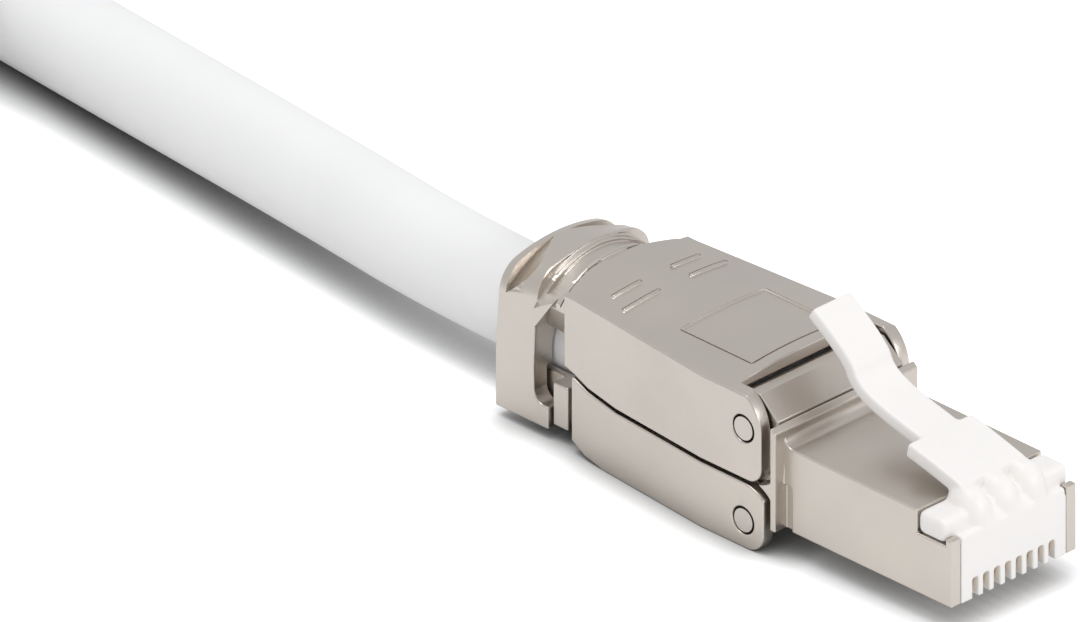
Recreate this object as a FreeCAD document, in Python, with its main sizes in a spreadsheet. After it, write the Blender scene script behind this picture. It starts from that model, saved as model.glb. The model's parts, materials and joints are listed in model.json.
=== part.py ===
import FreeCAD, Part
import math
import os

import Sketcher

# A shielded field-termination plug on a round lead, all in millimetres.
# +X runs to the nose, +Z is up, and the origin lies under the middle of the plug, on its flat bottom.

SIZES = {
    # Whole plug
    "plug_length": 42.9,
    "fit_gap": 0.05,
    "running_gap": 0.15,
    # Nose of the housing
    "nose_length": 15.65,
    "nose_width": 11.68,
    "nose_height": 6.2,
    "nose_rise": 1.95,
    "shield_wall": 0.9,
    "shield_roof": 0.6,
    "notch_length": 3.25,
    "notch_depth": 1.73,
    "mouth_length": 7.6,
    # Shoulder and hood of the housing
    "rim_inset": 0.3,
    "rim_thickness": 0.5,
    "rim_reach": 0.9,
    "hood_top": 2.3,
    "hood_front": 2.15,
    "hood_shoulder": 0.85,
    "hood_crest": 0.4,
    "hood_back": 1.2,
    "hood_back_top": 1.9,
    "hood_foot": 1.5,
    "hood_back_foot": 1.0,
    "hood_fillet": 0.8,
    "relief_depth": 0.25,
    "relief_width": 0.7,
    "relief_height": 3.35,
    "bridge_back": 0.75,
    "bridge_drop": 1.4,
    "bridge_rise": 1.65,
    # Hinges of the two lids
    "hinge_setback": 2.2,
    "upper_hinge_level": 8.9,
    "lower_hinge_level": 2.0,
    "pin_radius": 0.85,
    "pin_length": 2.0,
    "pin_recess": 0.05,
    "visor_gap": 0.17,
    # Lids
    "lid_width": 14.0,
    "lid_wall": 1.0,
    "lid_roof": 1.2,
    "lid_top": 12.05,
    "crown_radius": 41.0,
    "parting_level": 5.15,
    "parting_gap": 0.3,
    "parting_rise": 1.15,
    "parting_rise_length": 5.2,
    "parting_knee": 0.35,
    "parting_knee_length": 2.35,
    "parting_tail_drop": 0.25,
    "upper_lobe": 1.65,
    "lower_lobe": 1.9,
    "lobe_fillet": 3.2,
    "lobe_foot_fillet": 1.2,
    "lower_lobe_fillet": 1.5,
    "lower_lobe_crest": 2.85,
    "lip_setback": 1.15,
    "taper_length": 13.0,
    "taper_land": 1.0,
    "tail_width": 11.6,
    "heel_length": 3.2,
    "heel_rise": 0.95,
    "heel_knee": 0.3,
    "heel_knee_length": 1.3,
    "lower_lid_inset": 0.7,
    # Marks on the upper lid
    "grip_height": 0.14,
    "grip_width": 0.3,
    "grip_inner": 1.4,
    "rear_grip_length": 2.7,
    "front_grip_length": 3.45,
    "rear_grip_setback": 2.7,
    "grip_pitch": 1.75,
    "panel_depth": 0.1,
    "panel_width": 8.0,
    "panel_length": 6.7,
    "panel_setback": 9.1,
    # Neck and collar round the cable
    "neck_length": 3.0,
    "neck_width": 10.0,
    "neck_crown": 6.6,
    "neck_top": 11.95,
    "neck_foot": 7.5,
    "neck_tuck": 0.9,
    "neck_tuck_level": 9.6,
    "flare_length": 1.2,
    "flare_crown": 8.2,
    "ridge_height": 0.3,
    "ridge_width": 0.4,
    "ridge_pitch": 1.5,
    "ridge_foot": 9.7,
    "gusset_length": 1.45,
    "gusset_foot": 7.9,
    "gusset_top": 10.3,
    "collar_length": 3.6,
    "collar_width": 11.2,
    "collar_top": 12.35,
    "collar_fall": 0.6,
    "collar_crown": 14.0,
    "collar_lean": 0.6,
    "collar_lean_level": 5.0,
    "collar_shoulder": 2.2,
    "flange_thickness": 0.7,
    "pocket_length": 2.1,
    "pocket_crown": 11.1,
    "pocket_flare": 1.2,
    "pocket_offset": 2.24,
    "pocket_axis_drop": 11.2,
    "arm_thickness": 1.3,
    "arm_foot": 0.75,
    "hook_reach": 1.35,
    "hook_height": 1.65,
    "arm_fillet": 0.9,
    "tongue_width": 8.2,
    "tongue_foot": 1.1,
    "tongue_height": 3.2,
    "tongue_length": 4.9,
    "lug_length": 1.4,
    "lug_reach": 1.2,
    # Cable
    "cable_level": 5.6,
    "cable_diameter": 7.2,
    "bore_diameter": 7.6,
    "wire_fan_length": 5.4,
    # White insert and its contacts
    "contact_pitch": 1.02,
    "slot_width": 0.56,
    "slot_height": 1.5,
    "slot_length": 6.4,
    "carrier_length": 12.5,
    "board_slot_length": 5.0,
    "contact_thickness": 0.4,
    "contact_height": 1.9,
    "contact_length": 5.6,
    "contact_inset": 0.5,
    "contact_rise": 0.35,
    "contact_round": 0.45,
    "contact_nose_height": 0.85,
    "contact_slope": 0.75,
    # Latch
    "wing_setback": 0.84,
    "latch_root_width": 6.0,
    "latch_hinge_setback": 1.5,
    "latch_hinge_radius": 0.8,
    "latch_seat_gap": 0.12,
    "latch_root_length": 7.0,
    "latch_root_thickness": 1.05,
    "latch_root_rise": 2.2,
    "latch_root_crown": 0.3,
    "lobe_rise": 0.75,
    "lobe_slope": 0.5,
    "lobe_hollow_radius": 0.65,
    "lobe_hollow_pitch": 2.9,
    "lobe_hollow_rise": 0.8,
    "lobe_hollow_length": 2.0,
    "lever_width": 3.5,
    "lever_thickness": 1.05,
    "lever_shoulder": 11.2,
    "lever_shoulder_rise": 3.4,
    "lever_kick": 12.95,
    "lever_kick_rise": 4.25,
    "lever_step": 13.5,
    "lever_step_rise": 5.75,
    "lever_length": 17.15,
    "lever_tip_rise": 8.15,
    # Board, terminal block and wire holders
    "board_thickness": 0.8,
    "board_width": 9.2,
    "board_level": 5.1,
    "board_length": 19.0,
    "block_length": 8.4,
    "block_width": 9.4,
    "upper_block_height": 2.6,
    "lower_block_height": 1.9,
    "blade_pitch": 2.2,
    "blade_thickness": 0.4,
    "blade_width": 1.5,
    "blade_height": 1.35,
    "blade_slit": 0.3,
    "blade_waist": 1.0,
    "blade_bed": 0.27,
    "blade_setback": 3.2,
    "holder_length": 6.6,
    "holder_gap": 0.25,
    "wire_diameter": 1.0,
    "wire_channel": 1.2,
    "wire_fan_pitch": 1.3,
    "wire_fan_spread": 0.8,
    "wire_sink": 0.6,
    # Lead
    "coil_radius": 38.0,
    "coil_back": 82.5,
    "coil_side": 9.3,
    "far_plug_back": 37.0,
    "far_plug_side": 70.2,
}

# The lead's route behind the collar, chosen by hand: back from the collar, sideways, and up
RUN_ROUTE = [(0, 0, 5.6), (-9, 0, 5.6), (-24, 2.5, 5.0), (-50, 6.3, 3.8), (-70, 8.5, 3.6), (-82.5, 9.3, 3.6)]
TAIL_ROUTE = [(-82.5, -66.7, 10.8), (-71, -67.0, 10.8), (-59, -69.0, 8.4), (-47.5, -70.2, 5.6),
              (-37, -70.2, 5.6)]

# How far a cut runs past the face that it opens
PAST = 1

doc = FreeCAD.newDocument("plug")
sheet = doc.addObject("Spreadsheet::Sheet", "Sizes")
for row, (alias, value) in enumerate(SIZES.items(), 1):
    sheet.set(f"A{row}", alias)
    sheet.set(f"B{row}", str(value))
    sheet.setAlias(f"B{row}", alias)
doc.recompute()


def size(alias):
    return float(sheet.get(alias))


# Places worked out from the sizes, as expressions for the objects' own properties
FRONT = "Sizes.plug_length / 2"
TAIL = "-Sizes.plug_length / 2"
SHOULDER = f"({FRONT} - Sizes.nose_length)"
RIM_BACK = f"({SHOULDER} - Sizes.rim_thickness)"
HINGE = f"({RIM_BACK} - Sizes.hinge_setback)"
COLLAR_FRONT = f"({TAIL} + Sizes.collar_length)"
LID_TAIL = f"({COLLAR_FRONT} + Sizes.neck_length)"
LOWER_TAIL = f"({LID_TAIL} + Sizes.lower_lid_inset)"
TAPER_END = f"({LID_TAIL} + Sizes.taper_land)"
TAPER_START = f"({TAPER_END} + Sizes.taper_length)"
LIP = f"({HINGE} - Sizes.lip_setback)"
NOSE_FOOT = "Sizes.nose_rise"
NOSE_TOP = "(Sizes.nose_rise + Sizes.nose_height)"
HOOD_WIDTH = "(Sizes.lid_width - (Sizes.lid_wall + Sizes.running_gap) * 2)"
RIM_HALF = "(Sizes.lid_width / 2 - Sizes.rim_inset)"
CAVITY_HALF = "(Sizes.nose_width / 2 - Sizes.shield_wall)"
CAVITY_FOOT = "(Sizes.nose_rise + Sizes.shield_roof)"
CAVITY_TOP = f"({NOSE_TOP} - Sizes.shield_roof)"
UPPER = "Sizes.upper_hinge_level"
LOWER = "Sizes.lower_hinge_level"
LOWER_TOP = "(Sizes.parting_level - Sizes.parting_gap)"
BOARD_TOP = "(Sizes.board_level + Sizes.board_thickness / 2)"
BOARD_FOOT = "(Sizes.board_level - Sizes.board_thickness / 2)"

# How close two places are that count as one
SLACK = 1e-4

TURNS = {
    "XY": FreeCAD.Rotation(),
    "XZ": FreeCAD.Rotation(FreeCAD.Vector(1, 0, 0), 90),
    "YZ": FreeCAD.Rotation(FreeCAD.Vector(1, 1, 1), 120),
}
ALONG = {
    "X": FreeCAD.Rotation(FreeCAD.Vector(0, 1, 0), 90),
    "Y": FreeCAD.Rotation(FreeCAD.Vector(1, 0, 0), -90),
}


def bind(obj, **sizes):
    for prop, expression in sizes.items():
        obj.setExpression(prop.replace("__", "."), expression)
    return obj


def outline(name, plane, points):
    """A closed sketch whose corners are each held by two bound distances."""
    sketch = doc.addObject("Sketcher::SketchObject", name)
    sketch.Placement = FreeCAD.Placement(FreeCAD.Vector(), TURNS[plane])
    seeds = [FreeCAD.Vector(n + 1, (n * n) % 7 + 1, 0) for n in range(len(points))]
    for n, seed in enumerate(seeds):
        sketch.addGeometry(Part.LineSegment(seed, seeds[(n + 1) % len(seeds)]), False)
    for n, (across, up) in enumerate(points):
        sketch.addConstraint(Sketcher.Constraint("Coincident", n, 2, (n + 1) % len(points), 1))
        for kind, seed, place in (("DistanceX", seeds[n].x, across), ("DistanceY", seeds[n].y, up)):
            row = sketch.addConstraint(Sketcher.Constraint(kind, -1, 1, n, 1, seed))
            sketch.setExpression(f"Constraints[{row}]", place)
    return sketch


def prism(name, plane, points, length, start=None):
    """An outline drawn out both ways from its plane, or one way from a start along the normal."""
    sketch = outline(name + "_outline", plane, points)
    solid = doc.addObject("Part::Extrusion", name)
    solid.Base = sketch
    solid.DirMode = "Normal"
    solid.Solid = True
    solid.Symmetric = start is None
    bind(solid, LengthFwd=length)
    if start is not None:
        axis = {"XY": "z", "XZ": "y", "YZ": "x"}[plane]
        sketch.setExpression(f"Placement.Base.{axis}", start)
    return solid


def box(name, x, y, z):
    """A block between two places along each axis."""
    solid = doc.addObject("Part::Box", name)
    for prop, axis, (low, high) in (("Length", "x", x), ("Width", "y", y), ("Height", "z", z)):
        solid.setExpression(prop, f"({high}) - ({low})")
        solid.setExpression(f"Placement.Base.{axis}", low)
    return solid


def slab(name, x, half, z):
    """A block that lies evenly about the middle plane."""
    return box(name, x, (f"-({half})", half), z)


def rod(name, along, radius, start, length, **place):
    solid = doc.addObject("Part::Cylinder", name)
    solid.Placement = FreeCAD.Placement(FreeCAD.Vector(), ALONG[along])
    bind(solid, Radius=radius, Height=length)
    solid.setExpression(f"Placement.Base.{along.lower()}", start)
    for axis, expression in place.items():
        solid.setExpression(f"Placement.Base.{axis}", expression)
    return solid


def cone(name, rear_radius, front_radius, start, length, **place):
    """A round bar along the plug that widens or narrows towards the nose."""
    solid = doc.addObject("Part::Cone", name)
    solid.Placement = FreeCAD.Placement(FreeCAD.Vector(), ALONG["X"])
    bind(solid, Radius1=rear_radius, Radius2=front_radius, Height=length, Placement__Base__x=start)
    for axis, expression in place.items():
        solid.setExpression(f"Placement.Base.{axis}", expression)
    return solid


def fuse(name, *shapes):
    solid = doc.addObject("Part::MultiFuse", name)
    solid.Shapes = list(shapes)
    return solid


def common(name, *shapes):
    solid = doc.addObject("Part::MultiCommon", name)
    solid.Shapes = list(shapes)
    return solid


def cut(name, base, *tools):
    solid = doc.addObject("Part::Cut", name)
    solid.Base = base
    solid.Tool = tools[0] if len(tools) == 1 else fuse(name + "_tools", *tools)
    return solid


def rounded(name, base, *rounds):
    """A body on a finished shape, with a bound fillet for each group of picked edges."""
    body = doc.addObject("PartDesign::Body", name)
    body.BaseFeature = base
    doc.recompute()
    last = body.Tip
    for radius, pick in rounds:
        edges = [f"Edge{n}" for n, edge in enumerate(last.Shape.Edges, 1) if pick(edge)]
        fillet = body.newObject("PartDesign::Fillet", name + "_round")
        fillet.Base = (last, edges)
        bind(fillet, Radius=radius)
        body.Tip = fillet
        doc.recompute()
        last = fillet
    return body


def value(expression):
    """The number that an expression on the sheet comes to."""
    return float(sheet.evalExpression(expression.replace("Sizes.", "")))


def runs(edge, axis):
    """True where a straight edge runs along one axis."""
    if edge.Curve.TypeId != "Part::GeomLine":
        return False
    way = edge.Vertexes[-1].Point - edge.Vertexes[0].Point
    return abs(abs(way.dot(axis)) - way.Length) < SLACK


def near(number, target):
    return abs(number - target) < SLACK


X_AXIS = FreeCAD.Vector(1, 0, 0)
Y_AXIS = FreeCAD.Vector(0, 1, 0)
Z_AXIS = FreeCAD.Vector(0, 0, 1)
NODES = {}


def node(name, obj):
    obj.Label = name
    NODES[name] = obj
    return obj


def build_housing():
    """The cast shield: hollow nose, rim behind it and the barrel hood between the lids' cheeks."""
    nose = slab("nose_block", (SHOULDER, FRONT), "Sizes.nose_width / 2", (NOSE_FOOT, NOSE_TOP))
    crest = f"({UPPER} + Sizes.hood_top)"
    face = f"({HINGE} + Sizes.hood_front)"
    foot = f"({LOWER} - Sizes.hood_foot)"
    hood = prism("hood_block", "XZ", [
        (f"{HINGE} - Sizes.hood_back", f"{LOWER} - Sizes.hood_back_foot"),
        (f"{HINGE} - Sizes.hood_crest", foot),
        (f"{HINGE} + Sizes.hood_crest", foot),
        (face, NOSE_FOOT),
        (face, f"{UPPER} + Sizes.hood_shoulder"),
        (f"{HINGE} + Sizes.hood_crest", crest),
        (f"{HINGE} - Sizes.hood_crest", crest),
        (f"{HINGE} - Sizes.hood_back", f"{UPPER} + Sizes.hood_back_top"),
    ], HOOD_WIDTH)
    rim = prism("rim_block", "XZ", [
        (RIM_BACK, NOSE_FOOT),
        (SHOULDER, NOSE_FOOT),
        (SHOULDER, f"{UPPER} + Sizes.rim_reach - Sizes.rim_thickness"),
        (RIM_BACK, f"{UPPER} + Sizes.rim_reach"),
    ], f"{RIM_HALF} * 2")
    bridge = cut("bridge_block",
                 slab("bridge_blank", (f"{HINGE} + Sizes.bridge_back", RIM_BACK), RIM_HALF,
                      (f"{LOWER_TOP} - Sizes.bridge_drop", "Sizes.parting_level + Sizes.bridge_rise")),
                 rod("bridge_upper", "Y", f"{UPPER} - {LOWER_TOP}", "-Sizes.lid_width / 2",
                     "Sizes.lid_width", x=HINGE, z=UPPER),
                 rod("bridge_lower", "Y", f"Sizes.parting_level - {LOWER}", "-Sizes.lid_width / 2",
                     "Sizes.lid_width", x=HINGE, z=LOWER))
    cavity = slab("nose_cavity", (f"{HINGE} - Sizes.hood_back - {PAST}", f"{FRONT} + {PAST}"), CAVITY_HALF,
                  (CAVITY_FOOT, CAVITY_TOP))
    mouth = slab("nose_mouth", (f"{FRONT} - Sizes.mouth_length", f"{FRONT} + {PAST}"), CAVITY_HALF,
                 (f"{NOSE_FOOT} - {PAST}", CAVITY_TOP))
    notch = slab("nose_notch", (f"{FRONT} - Sizes.notch_length", f"{FRONT} + {PAST}"), "Sizes.nose_width",
                 (f"{NOSE_TOP} - Sizes.notch_depth", f"{NOSE_TOP} + {PAST}"))
    reliefs = []
    for side, sign in (("left", "-"), ("right", "")):
        out = f"({sign}(Sizes.nose_width / 2))"
        reach = f"({sign}(Sizes.nose_width / 2 - Sizes.relief_depth))"
        low, high = (out, reach) if sign else (reach, out)
        reliefs.append(box(f"relief_{side}", (SHOULDER, f"{SHOULDER} + Sizes.relief_width"), (low, high),
                           (NOSE_FOOT, f"{NOSE_FOOT} + Sizes.relief_height")))
    bores = []
    bore = "Sizes.pin_radius + Sizes.fit_gap"
    inner = "(Sizes.lid_width / 2 - Sizes.pin_recess - Sizes.pin_length)"
    for level, height in (("upper", UPPER), ("lower", LOWER)):
        bores.append(rod(f"{level}_bore_right", "Y", bore, f"{inner} - Sizes.fit_gap", "Sizes.pin_length",
                         x=HINGE, z=height))
        bores.append(rod(f"{level}_bore_left", "Y", bore, f"-{inner} + Sizes.fit_gap - Sizes.pin_length",
                         "Sizes.pin_length", x=HINGE, z=height))
    cove_end = f"{SHOULDER} + Sizes.hood_fillet"
    cove_top = f"{NOSE_TOP} + Sizes.hood_fillet"
    cove = cut("root_cove",
               slab("cove_blank", (SHOULDER, cove_end), "Sizes.nose_width / 2", (NOSE_TOP, cove_top)),
               rod("cove_round", "Y", "Sizes.hood_fillet", f"-Sizes.nose_width / 2 - {PAST}",
                   f"Sizes.nose_width + {PAST} * 2", x=cove_end, z=cove_top))
    cast = cut("housing_cast", fuse("housing_blank", nose, hood, rim, bridge, cove),
               cavity, mouth, notch, *reliefs, *bores)
    ridge = value(f"{UPPER} + Sizes.hood_shoulder")

    def at_ridge(edge):
        middle = edge.CenterOfMass
        return runs(edge, Y_AXIS) and middle.z > ridge - SLACK and edge.Length > value(HOOD_WIDTH) / 2

    return node("housing", rounded("housing_body", cast, ("Sizes.relief_depth / 2", at_ridge)))


def lid_plan(name, wall, tail, low, high, land=True):
    """The lids' shared plan, drawn in by a wall, between two levels, with or without its straight rear land."""
    half = f"(Sizes.lid_width / 2 - {wall})"
    narrow = f"(Sizes.tail_width / 2 - {wall})"
    front = f"{HINGE} + Sizes.hinge_setback"
    rear = [(tail, narrow), (tail, f"-{narrow}")]
    if land:
        rear = [(TAPER_END, narrow), *rear, (TAPER_END, f"-{narrow}")]
    return prism(name, "XY", [
        (front, f"-{half}"),
        (front, half),
        (TAPER_START, half),
        *rear,
        (TAPER_START, f"-{half}"),
    ], f"({high}) - ({low})", low)


def parting(shift):
    """The rising part of the line between the lids, from front to rear."""
    start = f"({LID_TAIL} + Sizes.parting_rise_length)"
    return [
        (start, f"Sizes.parting_level - {shift}"),
        (f"{LID_TAIL} + Sizes.parting_knee_length", f"Sizes.parting_level + Sizes.parting_knee - {shift}"),
        (LID_TAIL, f"Sizes.parting_level + Sizes.parting_rise - {shift}"),
    ]


def hinge_holes(name, level):
    hole = "Sizes.pin_radius + Sizes.running_gap"
    return rod(name, "Y", hole, f"-Sizes.lid_width / 2 - {PAST}", f"Sizes.lid_width + {PAST} * 2",
               x=HINGE, z=level)


def cable_bore(name, start, length):
    """Round over the cable and straight below it, so that the lid lifts off the cable."""
    radius = "Sizes.bore_diameter / 2"
    return fuse(name,
                rod(name + "_round", "X", radius, start, length, z="Sizes.cable_level"),
                slab(name + "_slot", (start, f"{start} + {length}"), radius,
                     (f"-{PAST}", "Sizes.cable_level")))


def build_upper_lid():
    """The upper lid with its neck, its collar and the two arms that clasp the lower lid."""
    crown_z = "Sizes.lid_top - Sizes.crown_radius"
    whole = "Sizes.plug_length"
    crown = rod("lid_crown", "X", "Sizes.crown_radius", TAIL, whole, z=crown_z)
    low_crown = rod("panel_crown", "X", "Sizes.crown_radius - Sizes.panel_depth", TAIL, whole, z=crown_z)
    raised_crown = rod("grip_crown", "X", "Sizes.crown_radius + Sizes.grip_height", TAIL, whole, z=crown_z)
    side = prism("upper_side", "XZ", [
        (f"{HINGE} + Sizes.upper_lobe", "Sizes.parting_level"),
        *parting("0"),
        (LID_TAIL, "Sizes.lid_top"),
        (f"{HINGE} + Sizes.upper_lobe", "Sizes.lid_top"),
    ], "Sizes.lid_width")
    lobe_end = value(f"{HINGE} + Sizes.upper_lobe")
    foot = value("Sizes.parting_level")
    roof = value("Sizes.lid_top - Sizes.lid_wall")

    def front_top(edge):
        middle = edge.CenterOfMass
        return runs(edge, Y_AXIS) and near(middle.x, lobe_end) and middle.z > roof

    def front_foot(edge):
        middle = edge.CenterOfMass
        return runs(edge, Y_AXIS) and near(middle.x, lobe_end) and near(middle.z, foot)

    side = rounded("upper_side_body", side, ("Sizes.lobe_fillet", front_top),
                   ("Sizes.lobe_foot_fillet", front_foot))
    shell = common("upper_form", side, crown,
                   lid_plan("upper_plan", "0", LID_TAIL, "0", "Sizes.lid_top"))
    cavity = lid_plan("upper_cavity", "Sizes.lid_wall", TAPER_END, "0", "Sizes.lid_top - Sizes.lid_roof",
                      land=False)
    opening = slab("upper_opening", (LIP, f"{HINGE} + Sizes.hinge_setback"),
                   "Sizes.lid_width / 2 - Sizes.lid_wall", ("0", f"Sizes.lid_top + {PAST}"))
    visor = rod("upper_visor", "Y", "Sizes.hood_top + Sizes.visor_gap",
                "-Sizes.lid_width / 2 + Sizes.lid_wall", "Sizes.lid_width - Sizes.lid_wall * 2",
                x=HINGE, z=UPPER)
    panel = cut("panel_recess",
                slab("panel_blank", (f"{LID_TAIL} + Sizes.panel_setback",
                                     f"{LID_TAIL} + Sizes.panel_setback + Sizes.panel_length"),
                     "Sizes.panel_width / 2",
                     ("Sizes.lid_top - Sizes.lid_wall / 2", f"Sizes.lid_top + {PAST}")),
                low_crown)
    tail_bore = cable_bore("lid_tail_bore", f"({LID_TAIL} - {PAST})", f"Sizes.taper_land + {PAST} * 2")
    shell = cut("upper_shell", shell, cavity, opening, visor, panel)
    neck = build_neck(crown)
    grips = []
    for row, (place, length) in enumerate((("Sizes.rear_grip_setback", "Sizes.rear_grip_length"),
                                           ("Sizes.rear_grip_setback + Sizes.grip_pitch",
                                            "Sizes.front_grip_length"))):
        for side_name, sign in (("left", "-"), ("right", "")):
            start = f"({LID_TAIL} + {place})"
            ends = ("Sizes.grip_inner", f"Sizes.grip_inner + {length}")
            if sign:
                ends = (f"-(Sizes.grip_inner + {length})", "-Sizes.grip_inner")
            bar = box(f"grip_{row}_{side_name}_bar", (start, f"{start} + Sizes.grip_width"), ends,
                      ("Sizes.lid_top - Sizes.lid_wall", f"Sizes.lid_top + {PAST}"))
            grips.append(common(f"grip_{row}_{side_name}", bar, raised_crown))
    joined = fuse("upper_joined", shell, neck, *grips)
    return node("upper_lid", cut("upper_lid_part", joined, tail_bore, hinge_holes("upper_holes", UPPER)))


def build_neck(lid_crown):
    """Neck with a flare and two ridges, then the arched collar with its flange, side pockets and arms."""
    half = "(Sizes.neck_width / 2)"
    tucked = f"({half} - Sizes.neck_tuck)"
    length = "Sizes.neck_length + Sizes.taper_land / 2"
    axis = "Sizes.neck_top - Sizes.neck_crown"
    crown = rod("neck_crown", "X", "Sizes.neck_crown", COLLAR_FRONT, length, z=axis)
    neck = common("neck", crown, prism("neck_block", "YZ", [
        (f"-{tucked}", "Sizes.neck_foot"),
        (tucked, "Sizes.neck_foot"),
        (half, "Sizes.neck_tuck_level"),
        (half, f"Sizes.neck_top + {PAST}"),
        (f"-{half}", f"Sizes.neck_top + {PAST}"),
        (f"-{half}", "Sizes.neck_tuck_level"),
    ], length, COLLAR_FRONT))
    flare = common("flare", lid_crown,
                   cone("flare_cone", "Sizes.neck_crown", "Sizes.flare_crown", f"{LID_TAIL} - Sizes.flare_length",
                        "Sizes.flare_length", z=axis),
                   slab("flare_block", (f"{LID_TAIL} - Sizes.flare_length", LID_TAIL), half,
                        ("Sizes.neck_tuck_level", f"Sizes.lid_top + {PAST}")))
    gusset_end = f"({COLLAR_FRONT} + Sizes.gusset_length)"
    gusset = common("gusset",
                    rod("gusset_crown", "X", "Sizes.neck_crown + Sizes.ridge_height", COLLAR_FRONT,
                        "Sizes.gusset_length", z=axis),
                    prism("gusset_side", "XZ", [
                        (COLLAR_FRONT, "Sizes.gusset_foot"),
                        (gusset_end, "Sizes.gusset_top"),
                        (COLLAR_FRONT, "Sizes.gusset_top"),
                    ], "Sizes.collar_width"),
                    prism("gusset_plan", "XY", [
                        (COLLAR_FRONT, "-Sizes.collar_width / 2"),
                        (gusset_end, f"-{half}"),
                        (gusset_end, half),
                        (COLLAR_FRONT, "Sizes.collar_width / 2"),
                    ], "Sizes.gusset_top", "0"))
    ridges = []
    for n in range(2):
        start = f"({COLLAR_FRONT} + Sizes.ridge_pitch * {n})"
        ridge_crown = rod(f"ridge_{n}_crown", "X", "Sizes.neck_crown + Sizes.ridge_height", start,
                          "Sizes.ridge_width", z=axis)
        ridges.append(common(f"ridge_{n}", ridge_crown,
                             slab(f"ridge_{n}_block", (start, f"{start} + Sizes.ridge_width"), half,
                                  ("Sizes.ridge_foot", f"Sizes.collar_top + {PAST}"))))
    half = "(Sizes.collar_width / 2)"
    lean = f"({half} - Sizes.collar_lean)"
    collar = common("collar_form",
                    prism("collar_blank", "YZ", [
                        (f"-{half}", "Sizes.arm_foot"),
                        (half, "Sizes.arm_foot"),
                        (half, "Sizes.collar_lean_level"),
                        (lean, f"Sizes.collar_top + {PAST}"),
                        (f"-{lean}", f"Sizes.collar_top + {PAST}"),
                        (f"-{half}", "Sizes.collar_lean_level"),
                    ], "Sizes.collar_length", TAIL),
                    cone("collar_crown", "Sizes.collar_crown - Sizes.collar_fall", "Sizes.collar_crown", TAIL,
                         "Sizes.collar_length", z="Sizes.collar_top - Sizes.collar_crown"))
    level = value("Sizes.collar_lean_level")
    long_enough = value("Sizes.collar_length") - SLACK

    def at_shoulder(edge):
        return edge.BoundBox.XLength > long_enough and edge.BoundBox.ZMin > level + SLACK

    collar = rounded("collar_shoulders", collar, ("Sizes.collar_shoulder", at_shoulder))
    pockets = []
    for side_name, sign, span in (("left", "-", (f"-({half} + {PAST})", "0")),
                                  ("right", "", ("0", f"{half} + {PAST}"))):
        start = f"({TAIL} + Sizes.flange_thickness)"
        blank = box(f"pocket_{side_name}_blank", (start, f"{start} + Sizes.pocket_length"), span,
                    ("Sizes.cable_level", f"Sizes.collar_top + {PAST}"))
        floor = cone(f"pocket_{side_name}_floor", "Sizes.pocket_crown",
                     "Sizes.pocket_crown + Sizes.pocket_flare", start, "Sizes.pocket_length",
                     y=f"Sizes.pocket_offset * {'1' if sign else '-1'}",
                     z="Sizes.collar_top - Sizes.pocket_axis_drop")
        pockets.append(cut(f"pocket_{side_name}", blank, floor))
    hook = slab("hook_block",
                (f"{COLLAR_FRONT} - Sizes.flange_thickness", f"{COLLAR_FRONT} + Sizes.hook_reach"), half,
                ("Sizes.arm_foot", "Sizes.arm_foot + Sizes.hook_height"))
    collar = fuse("collar_arms", cut("collar_pocketed", collar, *pockets), hook)
    inner = f"({half} - Sizes.arm_thickness)"
    gap = slab("arm_gap", (f"{TAIL} - {PAST}", f"{COLLAR_FRONT} + Sizes.hook_reach + {PAST}"), inner,
               (f"-{PAST}", "Sizes.tongue_foot + Sizes.tongue_height + Sizes.parting_gap"))
    collar = cut("collar_open", collar, gap)
    front = value(COLLAR_FRONT)
    hook_top = value("Sizes.arm_foot + Sizes.hook_height")

    def in_hook(edge):
        middle = edge.CenterOfMass
        return runs(edge, Y_AXIS) and near(middle.x, front) and near(middle.z, hook_top)

    collar = rounded("collar_body", collar, ("Sizes.arm_fillet", in_hook))
    bore = cable_bore("collar_bore", f"({TAIL} - {PAST})",
                      f"Sizes.collar_length + Sizes.neck_length + Sizes.taper_land + {PAST}")
    return cut("neck_and_collar", fuse("neck_joined", neck, flare, gusset, *ridges, collar), bore)


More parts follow.
